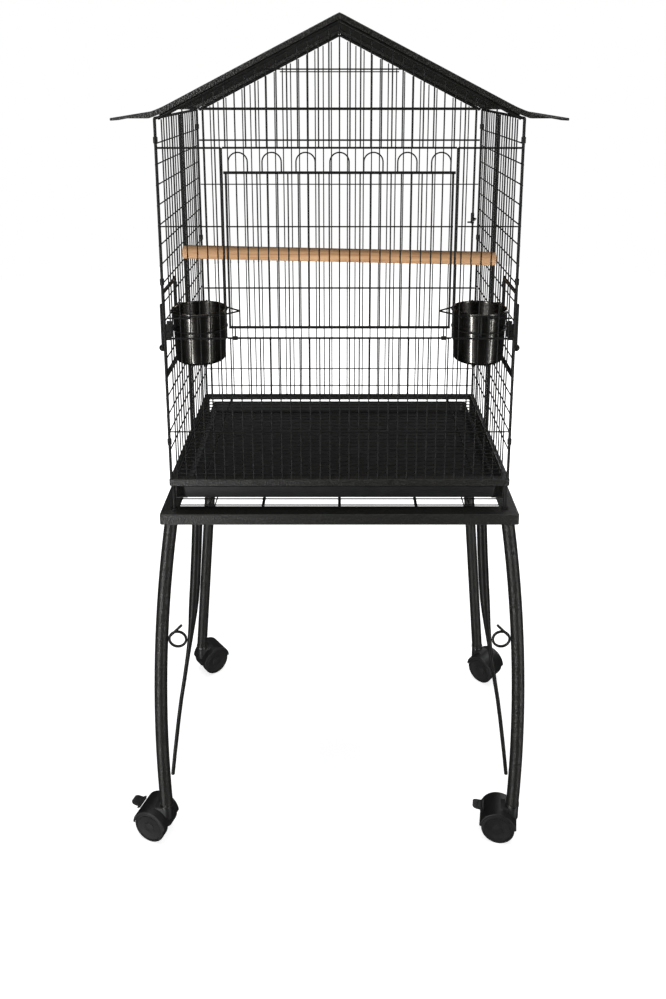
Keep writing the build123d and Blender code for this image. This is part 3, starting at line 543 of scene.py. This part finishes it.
def angle_section(top, height, flange, sheet, radius):
    """An angle rail's section as (inset, z): a skirt, a rounded outer bend and a flange."""
    section = [(0.0, top - height + 0.0003), (0.0, top - radius)]
    for angle in (22, 45, 68):
        turn = math.radians(angle)
        section.append((radius - radius * math.cos(turn), top - radius + radius * math.sin(turn)))
    section += [(radius, top), (flange - 0.0003, top), (flange, top - 0.0003),
                (flange, top - sheet + 0.0003), (flange - 0.0003, top - sheet),
                (sheet + radius * 0.6, top - sheet),
                (sheet + radius * 0.18, top - sheet - radius * 0.18), (sheet, top - sheet - radius * 0.6),
                (sheet, top - height + 0.0003), (sheet - 0.0003, top - height), (0.0003, top - height)]
    return section


def angle_frame(node, flange):
    """The four mitred rails of one frame, as one welded ring with eased corners."""
    low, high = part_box(node)
    mesh = bmesh.new()
    section = angle_section(high.z, high.z - low.z, flange, RAIL_SHEET, RAIL_BEND)
    frame_ring(mesh, high.x, high.y, RAIL_CORNER, section)
    return piece(f"{node}_rails", mesh, "hammertone_steel", "root", node, edge=30.0)


def tray_pan():
    """A moulded pan with round corners, drafted walls and a rolled rim."""
    low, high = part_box("tray")
    middle = (low + high) / 2
    half_x, half_y, height = high.x, (high.y - low.y) / 2, high.z - low.z
    corner, wall = 0.006, 0.0012
    section = [(0.0005, height - wall), (0.0, height - 0.0006), (0.0006, height), (0.0046, height),
               (0.0050, height - 0.0005), (0.0046, height - wall), (0.0026, height - wall - 0.0002),
               (0.0024, height - 0.004), (0.0040, 0.0040), (0.0052, 0.0020), (0.0075, wall + 0.0001)]
    outside = [(0.0010, height - wall - 0.0002), (0.0012, height - 0.004), (0.0026, 0.0030),
               (0.0036, 0.0009), (0.0060, 0.0)]
    mesh = bmesh.new()

    def loop(inset, z):
        return [(x, y + middle.y, z + low.z) for x, y, z in
                rounded_rectangle(half_x - inset, half_y - inset, corner, z)]

    skin(mesh, [loop(i, z) for i, z in reversed(outside)] + [loop(i, z) for i, z in section])
    return piece("tray_pan", mesh, "black_plastic", "tray", "tray", edge=40.0)


# ---- roof -----------------------------------------------------------------------------------
ROOF_SLOPE = 0.513          # drop for each metre out from the ridge
FLARE_X, FLARE_STEPS = 0.222, 24    # where the straight slope starts to flare, and in how many steps
ROOF_SHEET, ROOF_TURN, ROOF_BEND = 0.0014, 0.008, 0.0016    # thickness, turned edge, its bend
HEM_REACH, HEM_DROP = 0.010, 0.0034     # width and depth of the hem folded under the eaves


def roof_outline():
    """Points (x, z) on the top of one slope, from the ridge to the eaves, and half the roof's depth."""
    low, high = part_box("roof_panel_right")
    tip = Vector((high.x, low.z + ROOF_SHEET))
    start = Vector((FLARE_X, high.z - ROOF_SLOPE * FLARE_X))
    upward = Vector((ROOF_SLOPE, 1.0)).normalized()
    span = tip - start
    radius = span.length_squared / (2 * upward.dot(span))
    centre = start + upward * radius
    crown = [Vector((0.0, high.z - 0.0002)), Vector((0.0012, high.z - 0.0008))]
    straight = [Vector((x, high.z - ROOF_SLOPE * x)) for x in (0.0025, 0.03, 0.08, 0.13, 0.18, 0.21)]
    sweep = (tip - centre).angle_signed(start - centre)
    flare = []
    for k in range(FLARE_STEPS + 1):
        turned = start - centre
        turned.rotate(Matrix.Rotation(sweep * k / FLARE_STEPS, 2))
        flare.append(centre + turned)
    return crown + straight + flare, high.y


def roof_sheets():
    """Both slopes as one bent sheet, with its front and back edges turned down round a bend."""
    outline, half_y = roof_outline()
    eaves = outline[-1].y - 0.0005
    whole = [Vector((-p.x, p.y)) for p in reversed(outline[1:])] + outline
    mesh = bmesh.new()
    rings = []
    for x, top in whole:
        turn = min(max(top - eaves, ROOF_SHEET + 0.0002), ROOF_TURN)
        bend = min(ROOF_BEND, turn * 0.6)
        edge = [(half_y - ROOF_SHEET + 0.0002, turn), (half_y - 0.0002, turn), (half_y, turn - 0.0002)]
        edge += [(half_y - bend + bend * math.cos(math.radians(a)), bend - bend * math.sin(math.radians(a)))
                 for a in (0, 30, 60, 90)]
        inner = [(half_y - ROOF_SHEET - 0.0006, ROOF_SHEET),
                 (half_y - ROOF_SHEET, min(ROOF_SHEET + 0.0006, turn - 0.0001)),
                 (half_y - ROOF_SHEET, turn - 0.0001)]
        right = inner + edge
        section = right + [(-y, d) for y, d in reversed(right)]
        rings.append([(x, y, top - d) for y, d in section])
    skin(mesh, rings)
    tip, before = outline[-1], outline[-6]
    along = (before - tip).normalized()
    hem = [(0.0, 0.0), (0.0, -HEM_DROP + 0.0008), (0.0006, -HEM_DROP + 0.0001), (0.0016, -HEM_DROP),
           (HEM_REACH, -HEM_DROP + 0.0002), (HEM_REACH, -ROOF_SHEET + 0.0002), (0.003, -0.0002)]
    for side in (-1, 1):
        rings = []
        for y in (-half_y + 0.0004, half_y - 0.0004):
            rings.append([(side * (tip.x + 0.0004 + along.x * u), y, tip.y + along.y * u + v)
                          for u, v in hem])
        skin(mesh, rings)
    return piece("roof_sheets", mesh, "hammertone_steel", "root", "roof_panel_left", "roof_panel_right",
                 "roof_fascia_front", "roof_fascia_back", edge=28.0)


# ---- place everything -----------------------------------------------------------------------
def cad_finish():
    """Every CAD node gets the material of its slot."""
    slots = {row["node"]: row["material_slot"] for row in frame["record"]["subparts"]}
    for node, made in NODES.items():
        made.data.materials.clear()
        made.data.materials.append(MATERIALS[slots[node]])


FLOOR_R = 4.0
FLOOR_FADE = (0.5, 1.3)         # metres from the middle where the glow starts and ends its rise
FLOOR_GLOW = (0.66, 1.05)
SURROUND_LIGHT = 0.03
SOFTBOXES = (
    # name, place, aimed at, (width, height), watts
    ("top_box", (0.0, 0.3, 3.4), (0.0, 0.0, 0.0), (3.0, 3.0), 84.0),
    ("left_strip", (-1.5, -2.1, 0.3), (0.0, 0.0, 0.3), (0.22, 3.8), 58.0),
    ("right_strip", (1.9, -1.7, 0.3), (0.0, 0.0, 0.3), (0.16, 3.8), 28.0),
    ("back_strip", (1.6, 1.9, 1.3), (0.0, 0.0, 0.8), (0.6, 1.8), 14.0),
)


def floor_and_light():
    """Pale floor that glows brighter outwards, a white surround and the softboxes.

    Reflections don't see the floor, and only the top box casts shadows: black paint stays black,
    with a streak from each strip.
    """
    mesh = bmesh.new()
    bmesh.ops.create_circle(mesh, cap_ends=True, radius=FLOOR_R, segments=96)
    data = bpy.data.meshes.new("floor")
    mesh.to_mesh(data)
    mesh.free()
    floor = bpy.data.objects.new("floor", data)
    bpy.context.scene.collection.objects.link(floor)
    floor.visible_glossy = False
    floor.visible_shadow = False
    paint = bpy.data.materials.new("pale_floor")
    paint.use_nodes = True
    shader = paint.node_tree.nodes["Principled BSDF"]
    shader.inputs["Base Color"].default_value = (0.86, 0.86, 0.86, 1)
    shader.inputs["Roughness"].default_value = 0.9
    shader.inputs["Specular IOR Level"].default_value = 0.1
    shader.inputs["Emission Color"].default_value = (1, 1, 1, 1)
    tree = paint.node_tree
    place = tree.nodes.new("ShaderNodeTexCoord").outputs["Object"]
    length = tree.nodes.new("ShaderNodeVectorMath")
    length.operation = "LENGTH"
    tree.links.new(place, length.inputs[0])
    fade = tree.nodes.new("ShaderNodeMapRange")
    fade.interpolation_type = "SMOOTHSTEP"
    for name, number in zip(RANGE_INPUTS, FLOOR_FADE + FLOOR_GLOW):
        fade.inputs[name].default_value = number
    tree.links.new(length.outputs["Value"], fade.inputs["Value"])
    tree.links.new(fade.outputs["Result"], shader.inputs["Emission Strength"])
    data.materials.append(paint)

    world = bpy.data.worlds.new("studio")
    bpy.context.scene.world = world
    world.use_nodes = True
    tree = world.node_tree
    surround = tree.nodes["Background"]
    surround.inputs["Color"].default_value = (1, 1, 1, 1)
    surround.inputs["Strength"].default_value = SURROUND_LIGHT
    seen = tree.nodes.new("ShaderNodeBackground")
    seen.inputs["Color"].default_value = (1, 1, 1, 1)
    seen.inputs["Strength"].default_value = 1.0
    ray = tree.nodes.new("ShaderNodeLightPath")
    mix = tree.nodes.new("ShaderNodeMixShader")
    tree.links.new(ray.outputs["Is Camera Ray"], mix.inputs["Fac"])
    tree.links.new(surround.outputs["Background"], mix.inputs[1])
    tree.links.new(seen.outputs["Background"], mix.inputs[2])
    tree.links.new(mix.outputs["Shader"], tree.nodes["World Output"].inputs["Surface"])

    for name, place, aim, size, power in SOFTBOXES:
        lamp = bpy.data.lights.new(name, "AREA")
        lamp.shape = "RECTANGLE"
        lamp.size, lamp.size_y = size
        lamp.energy = power
        lamp.use_shadow = name == "top_box"
        holder = bpy.data.objects.new(name, lamp)
        holder.location = place
        holder.rotation_euler = (Vector(aim) - Vector(place)).to_track_quat("-Z", "Y").to_euler()
        bpy.context.scene.collection.objects.link(holder)


CAMERA_PLACE = (0.0, -1.267, 1.136)
CAMERA_DIP = 12.5           # degrees below the horizon
CAMERA_LENS, CAMERA_SHIFT = 30.2, (-0.0065, -0.2336)


def camera():
    """Between the eaves and the ridge, looking down a little, with the lens shifted."""
    data = bpy.data.cameras.new("camera")
    data.sensor_width = 36.0
    data.lens = CAMERA_LENS
    data.shift_x, data.shift_y = CAMERA_SHIFT
    data.clip_start = 0.02
    holder = bpy.data.objects.new("camera", data)
    holder.location = CAMERA_PLACE
    holder.rotation_euler = (math.radians(90.0 - CAMERA_DIP), 0.0, 0.0)
    bpy.context.scene.collection.objects.link(holder)
    bpy.context.scene.camera = holder


camera()
floor_and_light()
cad_finish()
perch_dowel()
for name, side in SIDES:
    feeding_cup(name, side)
for name in CASTERS:
    swivel, hub = caster_frames(name)
    wheel_pair(name, hub)
    swivel_hood(name, swivel)
for name in BRAKED:
    brake_pedal(name)
angle_frame("stand_frame", STAND_FLANGE)
angle_frame("base_frame", BASE_FLANGE)
tray_pan()
roof_sheets()
bpy.context.scene.view_settings.view_transform = "Standard"
